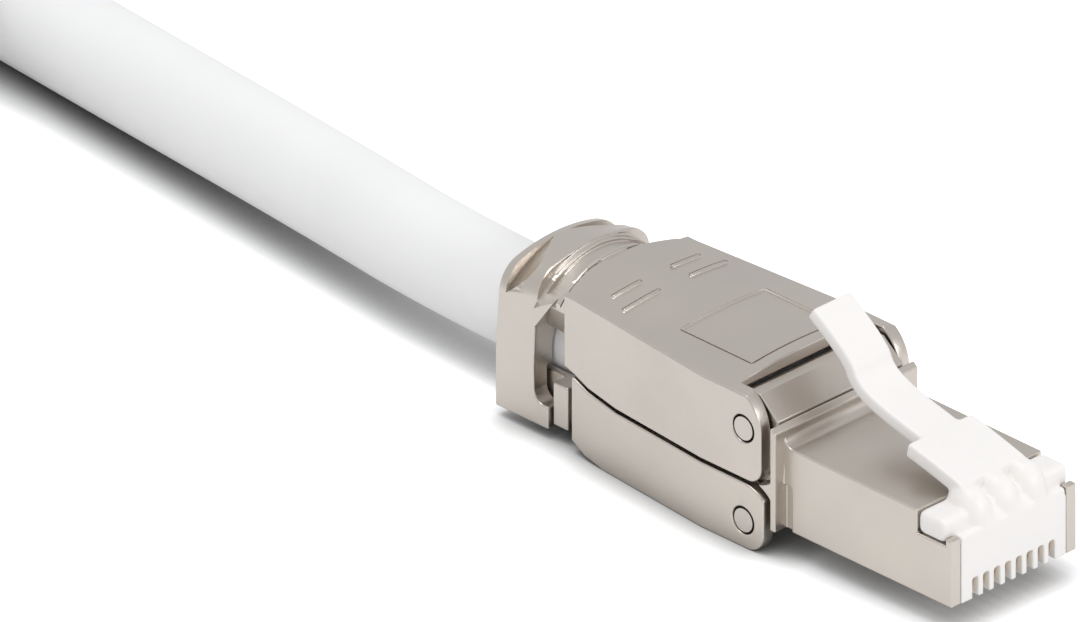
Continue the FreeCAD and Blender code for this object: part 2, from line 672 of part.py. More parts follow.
def build_lower_lid():
    """The lower lid with the cradle tongue that runs under the cable into the collar."""
    side = prism("lower_side", "XZ", [
        (f"{HINGE} + Sizes.lower_lobe", "0"),
        (f"{HINGE} + Sizes.lower_lobe", LOWER_TOP),
        *parting("Sizes.parting_gap")[:2],
        (LOWER_TAIL, f"{LOWER_TOP} + Sizes.parting_rise - Sizes.parting_tail_drop"),
        (LOWER_TAIL, "Sizes.heel_rise"),
        (f"{LOWER_TAIL} + Sizes.heel_knee_length", "Sizes.heel_knee"),
        (f"{LOWER_TAIL} + Sizes.heel_length", "0"),
    ], "Sizes.lid_width")
    lobe_end = value(f"{HINGE} + Sizes.lower_lobe")

    def front_foot(edge):
        middle = edge.CenterOfMass
        return runs(edge, Y_AXIS) and near(middle.x, lobe_end) and near(middle.z, 0)

    side = rounded("lower_side_body", side, ("Sizes.lower_lobe_fillet", front_foot))
    crest = fuse("lower_crest_keep",
                 rod("lower_crest", "Y", "Sizes.lower_lobe_crest", "-Sizes.lid_width / 2", "Sizes.lid_width",
                     x=HINGE, z=LOWER),
                 slab("lower_rear_keep", (LOWER_TAIL, HINGE), "Sizes.lid_width / 2", ("0", "Sizes.lid_top")))
    shell = common("lower_form", side, crest, lid_plan("lower_plan", "0", LOWER_TAIL, "0", "Sizes.lid_top"))
    cavity = lid_plan("lower_cavity", "Sizes.lid_wall", f"{LOWER_TAIL} + Sizes.lid_wall", "Sizes.lid_wall",
                      "Sizes.lid_top", land=False)
    opening = slab("lower_opening", (LIP, f"{HINGE} + Sizes.hinge_setback"),
                   "Sizes.lid_width / 2 - Sizes.lid_wall", (f"-{PAST}", "Sizes.lid_top"))
    visor = rod("lower_visor", "Y", "Sizes.hood_foot + Sizes.visor_gap * 2",
                "-Sizes.lid_width / 2 + Sizes.lid_wall", "Sizes.lid_width - Sizes.lid_wall * 2",
                x=HINGE, z=LOWER)
    shell = cut("lower_shell", shell, cavity, opening, visor)
    tongue_top = "(Sizes.tongue_foot + Sizes.tongue_height)"
    tongue = slab("tongue_block", (f"{LOWER_TAIL} - Sizes.tongue_length", f"{LOWER_TAIL} + Sizes.lid_wall"),
                  "Sizes.tongue_width / 2", ("Sizes.tongue_foot", tongue_top))
    lug_front = f"({COLLAR_FRONT} + Sizes.hook_reach + Sizes.running_gap + Sizes.lug_length)"
    lugs = slab("lug_block", (f"{lug_front} - Sizes.lug_length", lug_front),
                "Sizes.tongue_width / 2 + Sizes.lug_reach", ("Sizes.tongue_foot", tongue_top))
    bed = rod("tongue_bed", "X", "Sizes.bore_diameter / 2", f"{LOWER_TAIL} - Sizes.tongue_length - {PAST}",
              f"Sizes.tongue_length + Sizes.lid_wall + {PAST} * 2", z="Sizes.cable_level")
    joined = fuse("lower_joined", shell, tongue, lugs)
    return node("lower_lid", cut("lower_lid_part", joined, bed, hinge_holes("lower_holes", LOWER)))


def build_pins():
    """Four short pins, flush in the cheeks and seated in the hood."""
    inner = "(Sizes.lid_width / 2 - Sizes.pin_recess - Sizes.pin_length)"
    for level, height in (("upper", UPPER), ("lower", LOWER)):
        node(f"{level}_hinge_pin_right", rod(f"{level}_pin_right", "Y", "Sizes.pin_radius", inner,
                                             "Sizes.pin_length", x=HINGE, z=height))
        node(f"{level}_hinge_pin_left", rod(f"{level}_pin_left", "Y", "Sizes.pin_radius",
                                            f"-{inner} - Sizes.pin_length", "Sizes.pin_length",
                                            x=HINGE, z=height))


CONTACT_TOP = f"({NOSE_FOOT} + Sizes.contact_rise + Sizes.contact_height)"


def contact_place(n):
    """The middle of contact n of 8 across the nose."""
    return f"(Sizes.contact_pitch * {n - 4.5})"


def build_carrier():
    """The moulded insert with eight slots along its lower front edge and a slot for the board."""
    half = f"({CAVITY_HALF} - Sizes.fit_gap)"
    ceiling = f"({CAVITY_TOP} - Sizes.fit_gap)"
    block = slab("carrier_block", (f"{FRONT} - Sizes.carrier_length", FRONT), half,
                 (f"{CAVITY_FOOT} + Sizes.fit_gap", ceiling))
    chin = slab("carrier_chin", (f"{FRONT} - Sizes.mouth_length + Sizes.fit_gap", FRONT), half,
                (NOSE_FOOT, ceiling))
    slots = []
    for n in range(1, 9):
        middle = contact_place(n)
        slots.append(box(f"carrier_slot_{n}", (f"{FRONT} - Sizes.slot_length", f"{FRONT} + {PAST}"),
                         (f"{middle} - Sizes.slot_width / 2", f"{middle} + Sizes.slot_width / 2"),
                         (f"{NOSE_FOOT} - {PAST}", f"{NOSE_FOOT} + Sizes.slot_height")))
        wall = f"({FRONT} - Sizes.contact_inset - Sizes.contact_length)"
        slots.append(box(f"carrier_root_{n}",
                         (f"{wall} - Sizes.fit_gap", f"{FRONT} - Sizes.contact_inset - Sizes.fit_gap * 4"),
                         (f"{middle} - Sizes.slot_width / 2", f"{middle} + Sizes.slot_width / 2"),
                         (NOSE_FOOT, f"{CONTACT_TOP} + Sizes.fit_gap")))
    board_slot = slab("carrier_board_slot",
                      (f"{FRONT} - Sizes.carrier_length - {PAST}",
                       f"{FRONT} - Sizes.carrier_length + Sizes.board_slot_length"),
                      "Sizes.board_width / 2 + Sizes.fit_gap",
                      (f"{BOARD_FOOT} - Sizes.fit_gap", f"{BOARD_TOP} + Sizes.fit_gap"))
    shelf = slab("carrier_shelf", (f"{FRONT} - Sizes.notch_length", f"{FRONT} + {PAST}"),
                 "Sizes.nose_width / 2", (f"{NOSE_TOP} - Sizes.notch_depth", f"{NOSE_TOP} + {PAST}"))
    blank = fuse("carrier_blank", block, chin)
    return node("contact_carrier", cut("carrier", blank, *slots, board_slot, shelf))


def build_contacts():
    """Eight blades with a rounded nose, one in each slot."""
    front = f"({FRONT} - Sizes.contact_inset)"
    foot = f"({NOSE_FOOT} + Sizes.contact_rise)"
    top = CONTACT_TOP
    for n in range(1, 9):
        blade = prism(f"contact_blade_{n}", "XZ", [
            (f"{front} - Sizes.contact_length", foot),
            (front, foot),
            (front, f"{foot} + Sizes.contact_nose_height"),
            (f"{front} - Sizes.contact_slope", top),
            (f"{front} - Sizes.contact_length", top),
        ], "Sizes.contact_thickness", f"{contact_place(n)} + Sizes.contact_thickness / 2")
        tip = value(front)
        low = value(foot)

        def at_tip(edge):
            middle = edge.CenterOfMass
            return runs(edge, Y_AXIS) and near(middle.x, tip) and near(middle.z, low)

        node(f"contact_{n}", rounded(f"contact_body_{n}", blade, ("Sizes.contact_round", at_tip)))


LATCH_HINGE_X = f"({FRONT} - Sizes.latch_hinge_setback)"
LATCH_HINGE_Z = f"({NOSE_TOP} + Sizes.fit_gap)"

# Share of a sloped wall's thickness that shows along each axis
SLOPED = 0.7


def build_latch_base():
    """Cross bar with two wings in the nose's notches and the hollow seat of the lever."""
    bar = slab("latch_bar",
               (f"{FRONT} - Sizes.notch_length + Sizes.fit_gap", f"{FRONT} - Sizes.wing_setback"),
               "Sizes.nose_width / 2", (f"{NOSE_TOP} - Sizes.notch_depth + Sizes.fit_gap", NOSE_TOP))
    root = "(Sizes.latch_root_width / 2)"
    pad = slab("latch_pad", (f"{FRONT} - Sizes.notch_length + Sizes.fit_gap", FRONT),
               f"{CAVITY_HALF} - Sizes.fit_gap",
               (f"{NOSE_TOP} - Sizes.notch_depth + Sizes.fit_gap", f"{NOSE_TOP} - Sizes.fit_gap"))
    seat = rod("latch_seat", "Y", "Sizes.latch_hinge_radius + Sizes.latch_seat_gap", f"-{root} - {PAST}",
               f"({root} + {PAST}) * 2", x=LATCH_HINGE_X, z=LATCH_HINGE_Z)
    trough = slab("latch_trough", (f"{FRONT} - Sizes.notch_length - {PAST}", LATCH_HINGE_X),
                  f"{root} + Sizes.latch_seat_gap",
                  (f"{LATCH_HINGE_Z} - Sizes.latch_hinge_radius / 2", f"{NOSE_TOP} + {PAST}"))
    lobes = prism("latch_lobes", "XZ", [
        (LATCH_HINGE_X, f"{NOSE_TOP} - Sizes.latch_hinge_radius"),
        (FRONT, f"{NOSE_TOP} - Sizes.latch_hinge_radius"),
        (FRONT, f"{NOSE_TOP} - Sizes.fit_gap"),
        (f"{FRONT} - Sizes.lobe_slope", f"{NOSE_TOP} + Sizes.lobe_rise"),
        (LATCH_HINGE_X, f"{NOSE_TOP} + Sizes.lobe_rise"),
    ], f"{root} * 2")
    return node("latch_base", cut("latch_base_part", fuse("latch_base_blank", bar, pad, lobes), seat, trough,
                                  *lobe_hollows("base")))


def lobe_hollows(name):
    """The two round hollows that part the latch's front into three lobes."""
    return [rod(f"{name}_hollow_{n}", "X", "Sizes.lobe_hollow_radius", f"{FRONT} - Sizes.lobe_hollow_length",
                f"Sizes.lobe_hollow_length + {PAST}", y=f"Sizes.lobe_hollow_pitch * {n - 0.5}",
                z=f"{NOSE_TOP} + Sizes.lobe_hollow_rise")
            for n in range(2)]


def lever_top(back, rise):
    return (f"{FRONT} - {back}", f"{NOSE_TOP} + {rise}")


def build_latch_lever():
    """Broad root plate on a round hinge bar, then the narrow lever that kicks up to its tip."""
    root_end = f"({FRONT} - Sizes.latch_root_length)"
    bar = rod("lever_bar", "Y", "Sizes.latch_hinge_radius", "-Sizes.latch_root_width / 2",
              "Sizes.latch_root_width", x=LATCH_HINGE_X, z=LATCH_HINGE_Z)
    plate = prism("lever_root", "XZ", [
        (LATCH_HINGE_X, LATCH_HINGE_Z),
        (LATCH_HINGE_X, f"{LATCH_HINGE_Z} + Sizes.latch_hinge_radius"),
        (root_end, f"{NOSE_TOP} + Sizes.latch_root_rise"),
        (root_end, f"{NOSE_TOP} + Sizes.latch_root_rise - Sizes.latch_root_thickness"),
    ], "Sizes.latch_root_width")
    under = f"Sizes.lever_thickness * {SLOPED}"
    strap = prism("lever_strap", "XZ", [
        (LATCH_HINGE_X, f"{LATCH_HINGE_Z} + Sizes.latch_hinge_radius / 2"),
        (LATCH_HINGE_X, f"{LATCH_HINGE_Z} + Sizes.latch_hinge_radius + Sizes.latch_root_crown / 2"),
        lever_top("Sizes.latch_root_length", "Sizes.latch_root_rise + Sizes.latch_root_crown"),
        lever_top("Sizes.lever_shoulder", "Sizes.lever_shoulder_rise"),
        lever_top("Sizes.lever_kick", "Sizes.lever_kick_rise"),
        lever_top("Sizes.lever_step", "Sizes.lever_step_rise"),
        lever_top("Sizes.lever_length", "Sizes.lever_tip_rise"),
        lever_top("Sizes.lever_length", "Sizes.lever_tip_rise - Sizes.lever_thickness"),
        lever_top(f"(Sizes.lever_step + {under})", f"Sizes.lever_step_rise - {under}"),
        lever_top(f"(Sizes.lever_kick + {under})", f"Sizes.lever_kick_rise - {under}"),
        lever_top("(Sizes.lever_shoulder + Sizes.lever_thickness)", f"Sizes.lever_shoulder_rise - {under}"),
        lever_top("Sizes.latch_root_length", f"Sizes.latch_root_rise - {under}"),
    ], "Sizes.lever_width")
    return node("latch_lever", cut("latch_lever_part", fuse("latch_lever_blank", bar, plate, strap),
                                   *lobe_hollows("lever")))


def build_board():
    front = f"({FRONT} - Sizes.carrier_length + Sizes.board_slot_length - Sizes.fit_gap)"
    return node("circuit_board", slab("board", (f"{front} - Sizes.board_length", front),
                                      "Sizes.board_width / 2", (BOARD_FOOT, BOARD_TOP)))


BLOCK_FRONT = f"({HINGE} - Sizes.hood_back - Sizes.running_gap)"
BLOCK_BACK = f"({BLOCK_FRONT} - Sizes.block_length)"
JACKET_FRONT = f"({BLOCK_BACK} - Sizes.wire_fan_length)"
BLADE_X = f"({BLOCK_FRONT} - Sizes.blade_setback)"


GROOVE = "(Sizes.blade_width + Sizes.running_gap)"


def blade_place(n):
    """The middle of groove n of 0 to 3 across a terminal block."""
    return f"(Sizes.blade_pitch * {n - 1.5})"


def channels(name, low, high, length, width):
    """Four open grooves for the wires, along the plug from the blocks' rear."""
    grooves = []
    for n in range(4):
        middle = blade_place(n)
        grooves.append(box(f"{name}_{n}", (f"{BLOCK_BACK} - {PAST}", f"{BLOCK_BACK} + {length} + {PAST}"),
                           (f"{middle} - {width} / 2", f"{middle} + {width} / 2"), (low, high)))
    return grooves


def build_terminal_blocks():
    """A block above and one below the board, each with four grooves that hold the forked blades."""
    half = "Sizes.block_width / 2"
    foot = f"({BOARD_TOP} + Sizes.fit_gap)"
    top = f"({foot} + Sizes.upper_block_height)"
    upper = slab("upper_block", (BLOCK_BACK, BLOCK_FRONT), half, (foot, top))
    node("upper_terminal_block", cut("upper_block_part", upper, *channels(
        "upper_groove", f"{top} - Sizes.blade_height", f"{top} + {PAST}", "Sizes.block_length", GROOVE)))
    ceiling = f"({BOARD_FOOT} - Sizes.fit_gap)"
    low = f"({ceiling} - Sizes.lower_block_height)"
    lower = slab("lower_block", (BLOCK_BACK, BLOCK_FRONT), half, (low, ceiling))
    node("lower_terminal_block", cut("lower_block_part", lower, *channels(
        "lower_groove", f"{low} - {PAST}", f"{low} + Sizes.blade_height", "Sizes.block_length", GROOVE)))
    count = 0
    for level in ("upper", "lower"):
        for n in range(4):
            count += 1
            middle = blade_place(n)
            floor = f"({top} - Sizes.blade_height)" if level == "upper" else f"({low} + Sizes.blade_height)"
            sign = "+" if level == "upper" else "-"
            outer = "Sizes.blade_width / 2"
            slit = "Sizes.blade_slit / 2"
            tip = f"{floor} {sign} Sizes.blade_height"
            waist = f"{floor} {sign} Sizes.blade_waist"
            bed = f"{floor} {sign} Sizes.blade_bed"
            node(f"terminal_blade_{count}", prism(f"blade_{count}", "YZ", [
                (f"{middle} - {outer}", floor),
                (f"{middle} + {outer}", floor),
                (f"{middle} + {outer}", tip),
                (f"{middle} + {slit} * 2", tip),
                (f"{middle} + {slit}", waist),
                (f"{middle} + {slit}", bed),
                (f"{middle} - {slit}", bed),
                (f"{middle} - {slit}", waist),
                (f"{middle} - {slit} * 2", tip),
                (f"{middle} - {outer}", tip),
            ], "Sizes.blade_thickness", f"{BLADE_X} - Sizes.blade_thickness / 2"))
    return top, low


def build_holders(top, low):
    """The pressing combs that each lid carries over its four wires."""
    half = "Sizes.block_width / 2"
    span = (BLOCK_BACK, f"{BLOCK_BACK} + Sizes.holder_length")
    roof = "(Sizes.lid_top - Sizes.lid_roof)"
    foot = f"({top} + Sizes.holder_gap)"
    comb = slab("upper_comb", span, half, (foot, f"{roof} - Sizes.fit_gap"))
    node("upper_wire_holder", cut("upper_holder", comb, *channels(
        "upper_comb_groove", f"{foot} - {PAST}", f"{foot} + Sizes.wire_diameter / 2", "Sizes.holder_length",
        "Sizes.wire_channel")))
    floor = "(Sizes.lid_wall + Sizes.fit_gap)"
    ceiling = f"({low} - Sizes.holder_gap)"
    comb = slab("lower_comb", span, half, (floor, ceiling))
    node("lower_wire_holder", comb)


# How far a tube's volume may be off, and the share of a run that an arc takes
VOLUME_SLACK = 0.01
ARC_SHARE = 0.45


def bent_tube(points, radius):
    """A round tube along straight runs joined by tangent arcs, with the radius of each arc."""
    points = [FreeCAD.Vector(*p) for p in points]
    pieces = []
    radii = []
    length = 0
    start = points[0]

    def section(place, way):
        return Part.Face(Part.Wire(Part.Circle(place, way, radius).toShape()))

    for before, corner, after in zip(points, points[1:], points[2:]):
        back = (before - corner).normalize()
        ahead = (after - corner).normalize()
        turn = math.pi - back.getAngle(ahead)
        set_back = ARC_SHARE * min((before - corner).Length, (after - corner).Length)
        bend = set_back / math.tan(turn / 2)
        enter = corner + back * set_back
        inward = (back + ahead).normalize()
        centre = corner + inward * (bend / math.cos(turn / 2))
        pieces.append(section(start, enter - start).extrude(enter - start))
        pieces.append(section(enter, -back).revolve(centre, ahead.cross(back), math.degrees(turn)))
        radii.append(bend)
        length += (enter - start).Length + bend * turn
        start = corner + ahead * set_back
    pieces.append(section(start, points[-1] - start).extrude(points[-1] - start))
    length += (points[-1] - start).Length
    tube = pieces[0].fuse(pieces[1:])
    expected = math.pi * radius ** 2 * length
    if abs(tube.Volume / expected - 1) > VOLUME_SLACK:
        raise ValueError("a tube's volume is off its section times its length")
    return tube.Solids[0], radii, length


def feature(name, shape):
    solid = doc.addObject("Part::Feature", name)
    solid.Shape = shape
    return node(name, solid)


# Flats round each thin wire
WIRE_FLATS = 12


def mitred_tube(points, radius):
    """A thin wire with flats, along straight runs that meet in mitres."""
    points = [FreeCAD.Vector(*p) for p in points]
    path = Part.Wire([Part.makeLine(a, b) for a, b in zip(points, points[1:])])
    turns = [math.tau * n / WIRE_FLATS for n in range(WIRE_FLATS + 1)]
    section = Part.makePolygon([points[0] + FreeCAD.Vector(0, math.cos(turn), math.sin(turn)) * radius
                                for turn in turns])
    sharp_corners = 1
    return path.makePipeShell([section], True, False, sharp_corners).Solids[0]


def build_wires(top, low):
    """Eight wires from the end of the jacket to the forked blades, four above the board and four below."""
    count = 0
    fan_end = f"({BLOCK_BACK} - Sizes.wire_diameter)"
    for height, sign in ((top, "+"), (low, "-")):
        lie = f"{height} {sign} (Sizes.wire_sink * -1)"
        lift = f"Sizes.cable_level {sign} Sizes.wire_fan_spread"
        for n in range(4):
            count += 1
            across = blade_place(n)
            fan = f"(Sizes.wire_fan_pitch * {n - 1.5})"
            route = [
                (JACKET_FRONT, fan, lift),
                (f"{JACKET_FRONT} + Sizes.wire_diameter", fan, lift),
                (fan_end, across, lie),
                (f"{BLADE_X} - Sizes.blade_thickness", across, lie),
            ]
            tube = mitred_tube([tuple(value(place) for place in point) for point in route],
                               size("wire_diameter") / 2)
            feature(f"wire_{count}", tube)


def build_lead():
    """The round lead: its end inside the plug, the stretch behind it, the coil and the short tail."""
    node("cable_end", rod("jacket_end", "X", "Sizes.cable_diameter / 2", TAIL, f"{JACKET_FRONT} - {TAIL}",
                          z="Sizes.cable_level"))
    tail = value(TAIL)
    for name, route in (("cable_run", RUN_ROUTE), ("cable_tail", TAIL_ROUTE)):
        tube, radii, length = bent_tube([(tail + x, y, z) for x, y, z in route], size("cable_diameter") / 2)
        feature(name, tube)
        print(name, "length", round(length, 1), "bend radii", [round(bend, 1) for bend in radii])
    turns = []
    for n, (turn, sweep) in enumerate(((0, 360), (90, 180))):
        foot = f"Sizes.cable_diameter * {n}"
        sides = []
        for part, sign in (("outer", "+"), ("inner", "-")):
            drum = doc.addObject("Part::Cylinder", f"coil_{part}_{n}")
            drum.Placement = FreeCAD.Placement(FreeCAD.Vector(), FreeCAD.Rotation(Z_AXIS, turn))
            drum.Angle = sweep
            bind(drum, Radius=f"Sizes.coil_radius {sign} Sizes.cable_diameter / 2",
                 Height="Sizes.cable_diameter", Placement__Base__x=f"{TAIL} - Sizes.coil_back",
                 Placement__Base__y="Sizes.coil_side - Sizes.coil_radius", Placement__Base__z=foot)
            sides.append(drum)
        turns.append(cut(f"coil_turn_{n}", *sides))
    node("cable_coil", fuse("coil", *turns))


FAR_GROUPS = {
    "far_housing": ("housing",),
    "far_upper_lid": ("upper_lid",),
    "far_lower_lid": ("lower_lid",),
    "far_hinge_pins": ("upper_hinge_pin_right", "upper_hinge_pin_left", "lower_hinge_pin_right",
                       "lower_hinge_pin_left"),
    "far_contact_carrier": ("contact_carrier",),
    "far_contacts": tuple(f"contact_{n}" for n in range(1, 9)),
    "far_latch_base": ("latch_base",),
    "far_latch_lever": ("latch_lever",),
    "far_circuit_board": ("circuit_board",),
    "far_terminal_blocks": ("upper_terminal_block", "lower_terminal_block"),
    "far_terminal_blades": tuple(f"terminal_blade_{n}" for n in range(1, 9)),
    "far_upper_wire_holder": ("upper_wire_holder",),
    "far_lower_wire_holder": ("lower_wire_holder",),
    "far_wires": tuple(f"wire_{n}" for n in range(1, 9)),
    "far_cable_end": ("cable_end",),
}


def build_far_plug():
    """The same plug on the lead's other end, beside the coil."""
    shift = FreeCAD.Vector(-size("far_plug_back"), -size("far_plug_side"), 0)
    for name, sources in FAR_GROUPS.items():
        copies = [NODES[source].Shape.translated(shift) for source in sources]
        feature(name, copies[0] if len(copies) == 1 else Part.makeCompound(copies))


build_housing()
build_upper_lid()
build_lower_lid()
build_pins()
build_carrier()
build_contacts()
build_latch_base()
build_latch_lever()
build_board()
block_top, block_low = build_terminal_blocks()
build_holders(block_top, block_low)
build_wires(block_top, block_low)
build_lead()
doc.recompute()
build_far_plug()
doc.recompute()

for obj in doc.Objects:
    if "Invalid" in obj.State or "Error" in obj.State:
        raise RuntimeError(f"{obj.Name} failed: {obj.State}")
os.makedirs("parts", exist_ok=True)
for name, obj in NODES.items():
    shape = obj.Shape
    if shape.isNull() or not shape.isValid():
        raise RuntimeError(f"{name} has no valid shape")
    shape.exportStep(f"parts/{name}.step")
    print(name, "solids", len(shape.Solids), "faces", len(shape.Faces), "volume", round(shape.Volume, 2))
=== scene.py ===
import json
import math

import bmesh
import bpy
from mathutils import Matrix, Vector


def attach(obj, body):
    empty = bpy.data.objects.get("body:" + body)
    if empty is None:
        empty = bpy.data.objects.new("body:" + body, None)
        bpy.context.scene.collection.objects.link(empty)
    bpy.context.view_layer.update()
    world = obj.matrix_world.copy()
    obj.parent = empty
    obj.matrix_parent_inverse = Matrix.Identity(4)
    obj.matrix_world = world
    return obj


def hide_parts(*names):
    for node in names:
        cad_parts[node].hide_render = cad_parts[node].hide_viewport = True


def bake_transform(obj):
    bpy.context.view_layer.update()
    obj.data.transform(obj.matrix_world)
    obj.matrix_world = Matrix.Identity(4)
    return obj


# A shielded data plug with a white latch on a white lead, lying on a white table.
# Metres unless a comment says millimetres, +X to the nose, +Z up.

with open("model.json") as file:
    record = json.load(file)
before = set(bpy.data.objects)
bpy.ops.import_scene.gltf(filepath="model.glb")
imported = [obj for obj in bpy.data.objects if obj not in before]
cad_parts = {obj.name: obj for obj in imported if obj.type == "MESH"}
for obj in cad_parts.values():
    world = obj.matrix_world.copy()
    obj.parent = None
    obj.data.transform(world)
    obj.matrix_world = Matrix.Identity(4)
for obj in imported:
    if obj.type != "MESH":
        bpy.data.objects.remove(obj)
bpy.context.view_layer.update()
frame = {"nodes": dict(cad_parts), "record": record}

MM = 0.001
PLUG_BACK = -21.45 * MM
CABLE_DIAMETER = 7.2 * MM
FAR_SHIFT = Vector((-37.0, -70.2, 0)) * MM

# The view: parallel, from ahead of the nose and to its right
VIEW_AZIMUTH = math.radians(45)
VIEW_HEIGHT = math.radians(28.5)
VIEW_TARGET = Vector((-21.75, -1.10, 5.95)) * MM
VIEW_WIDTH = 71.38 * MM
VIEW_DISTANCE = 0.6

# How far from the plug its contact shade reaches, and how much the table is lifted to white
FLOOR_COLOUR = (0.86, 0.86, 0.86)
CONTACT_SHADE = 3.2 * MM
CONTACT_DEPTH = 2.2
FLOOR_LIFT = 0.62
FLOOR_MIRROR_LIFT = 0.19

# Angles: an edge to round, a crisp line in the pockets, the widest smooth turn, and a flat's unevenness
SHARP = math.radians(32)
FACET = math.radians(8.5)
SMOOTH = math.radians(25)
WIRE_SMOOTH = math.radians(40)
FLAT = math.radians(0.4)

# The shells' rounded edges, and the rooms where edges lie too close for them: |y|, x and z in millimetres
DOUBLES = 0.002 * MM
HOUSING_EDGE = 0.12 * MM
LID_EDGE = 0.13 * MM
SHELL_EDGE_STEPS = 4
BLOCK_EDGE_STEPS = 3
UNDER_NECK = [(3.2, -19.2, 8.6), (6.4, -14.8, 11.2)]
POCKETS = [(0.5, -21.3, 8.5), (7.3, -18.0, 12.6)]

# The lips that close the housing's notches, in millimetres: low and high corner of the right one
LIP = [(20.85, 4.95, 6.2), (21.45, 5.84, 6.98)]
LIP_EDGE = 0.14

# The latch, in millimetres: blocks as low corner, high corner and round edge, lines as (x, z)
LATCH_BLOCKS = {
    "latch_bar": ((18.25, -5.84, 6.45), (20.75, 5.84, 8.15), 0.42),
    "latch_pad": ((18.25, -4.88, 6.2), (21.45, 4.88, 6.95), 0.12),
    "latch_core": ((18.25, -3.7, 6.2), (21.0, 3.7, 7.3), 0.3),
}
LEVER_LINE = [(19.4, 8.85), (17.4, 9.45), (14.35, 10.15), (10.1, 11.15), (8.1, 12.2), (7.6, 13.75),
              (4.15, 16.0)]
LEVER_WIDTH = 3.55
LEVER_THICKNESS = 1.0
ROOT_LINE = [(19.4, 8.85), (17.4, 9.45), (14.4, 10.12)]
ROOT_WIDTH = 6.0
ROOT_THICKNESS = 1.1
LOBE_PLACES = (-2.5, 0.0, 2.5)
LOBE_CENTRE = (19.7, 7.3)
LOBE_RADII = (1.75, 1.38, 2.05)
LOBE_FLOOR = [(18.3, 7.2), (21.3, 6.9), (21.15, 7.3), (20.75, 7.65), (20.2, 8.05), (19.6, 8.5), (19.1, 8.9),
              (18.3, 9.3)]
LOBE_FLOOR_HALF = 3.0

# How the moulding is run together: its grid, its rounds of easing, and the share of its faces that is kept
VOXEL = 0.09 * MM
LATCH_EASE = 12
JOINT_EASE = 3
FACES_KEPT = 0.4

# The lead behind the collar, in millimetres from the collar's rear
RUN_ROUTE = [(0, 0, 5.6), (-9, 0, 5.6), (-24, 2.5, 5.0), (-50, 6.3, 3.8), (-70, 8.5, 3.6), (-82.5, 9.3, 3.6)]
TAIL_ROUTE = [(-82.5, -66.7, 10.8), (-71, -67.0, 10.8), (-59, -69.0, 8.4), (-47.5, -70.2, 5.6),
              (-37, -70.2, 5.6)]
COIL_CENTRE = (-82.5, -28.7)
COIL_RADIUS = 38.0
COIL_TURNS = 1.5
COIL_STEPS = 16
COIL_LOW = 3.6
COIL_HIGH = 10.8
CLIMB_START = 0.6
CLIMB_TURNS = 0.35

# Smooth lines: their order, and the steps between two of their points
LINE_ORDER = 3
RIBBON_STEPS = 10
LEAD_STEPS = 12
LEAD_ROUND_STEPS = 10

# The part of a noise pattern's range that its values fill
NOISE_LOW = 0.3
NOISE_HIGH = 0.7

# Four pairs of wires, each a striped white wire and a plain one
WIRE_WHITE = (0.85, 0.84, 0.82)
WIRE_ORANGE = (0.80, 0.26, 0.04)
WIRE_GREEN = (0.05, 0.36, 0.10)
WIRE_BLUE = (0.05, 0.13, 0.55)
WIRE_BROWN = (0.24, 0.10, 0.04)
WIRE_COLOURS = [(WIRE_WHITE, WIRE_ORANGE), (WIRE_ORANGE,), (WIRE_WHITE, WIRE_GREEN), (WIRE_BLUE,),
                (WIRE_WHITE, WIRE_BLUE), (WIRE_GREEN,), (WIRE_WHITE, WIRE_BROWN), (WIRE_BROWN,)]
STRIPE_SCALE = 130
STRIPE_START = 0.62


def deselect():
    bpy.ops.object.select_all(action="DESELECT")


def pick(piece):
    deselect()
    piece.select_set(True)
    bpy.context.view_layer.objects.active = piece


def apply_modifiers(piece):
    pick(piece)
    for modifier in list(piece.modifiers):
        bpy.ops.object.modifier_apply(modifier=modifier.name)


def apply_place():
    bpy.ops.object.transform_apply(location=True, rotation=True, scale=True)


def merge(pieces):
    """The others are joined into the first."""
    deselect()
    for piece in pieces:
        piece.select_set(True)
    bpy.context.view_layer.objects.active = pieces[0]
    bpy.ops.object.join()


def paint(piece, material):
    piece.data.materials.clear()
    piece.data.materials.append(material)


# Materials


def new_material(name, colour, roughness, metallic=0.0):
    """A surface with its plain numbers on the shader's own sockets."""
    material = bpy.data.materials.new(name)
    material.use_nodes = True
    shader = material.node_tree.nodes["Principled BSDF"]
    shader.inputs["Base Color"].default_value = (*colour, 1)
    shader.inputs["Roughness"].default_value = roughness
    shader.inputs["Metallic"].default_value = metallic
    return material, shader


def add_node(material, kind, **settings):
    node = material.node_tree.nodes.new(kind)
    for name, setting in settings.items():
        setattr(node, name, setting)
    return node


def link(material, out_socket, in_socket):
    material.node_tree.links.new(out_socket, in_socket)


def grain(material, scale, detail=3.0):
    """Noise on the piece's own coordinates."""
    place = add_node(material, "ShaderNodeTexCoord")
    noise = add_node(material, "ShaderNodeTexNoise")
    noise.inputs["Scale"].default_value = scale
    noise.inputs["Detail"].default_value = detail
    link(material, place.outputs["Object"], noise.inputs["Vector"])
    return noise.outputs["Fac"]


def spread(material, source, low, high):
    """Maps a pattern onto a range of a number."""
    ramp = add_node(material, "ShaderNodeMapRange")
    ramp.inputs["From Min"].default_value = NOISE_LOW
    ramp.inputs["From Max"].default_value = NOISE_HIGH
    ramp.inputs["To Min"].default_value = low
    ramp.inputs["To Max"].default_value = high
    link(material, source, ramp.inputs["Value"])
    return ramp.outputs["Result"]


def tint(material, source, dark, light):
    """Maps a pattern onto two close colours."""
    ramp = add_node(material, "ShaderNodeValToRGB")
    ramp.color_ramp.elements[0].position = NOISE_LOW
    ramp.color_ramp.elements[1].position = NOISE_HIGH
    ramp.color_ramp.elements[0].color = (*dark, 1)
    ramp.color_ramp.elements[1].color = (*light, 1)
    link(material, source, ramp.inputs["Fac"])
    return ramp.outputs["Color"]


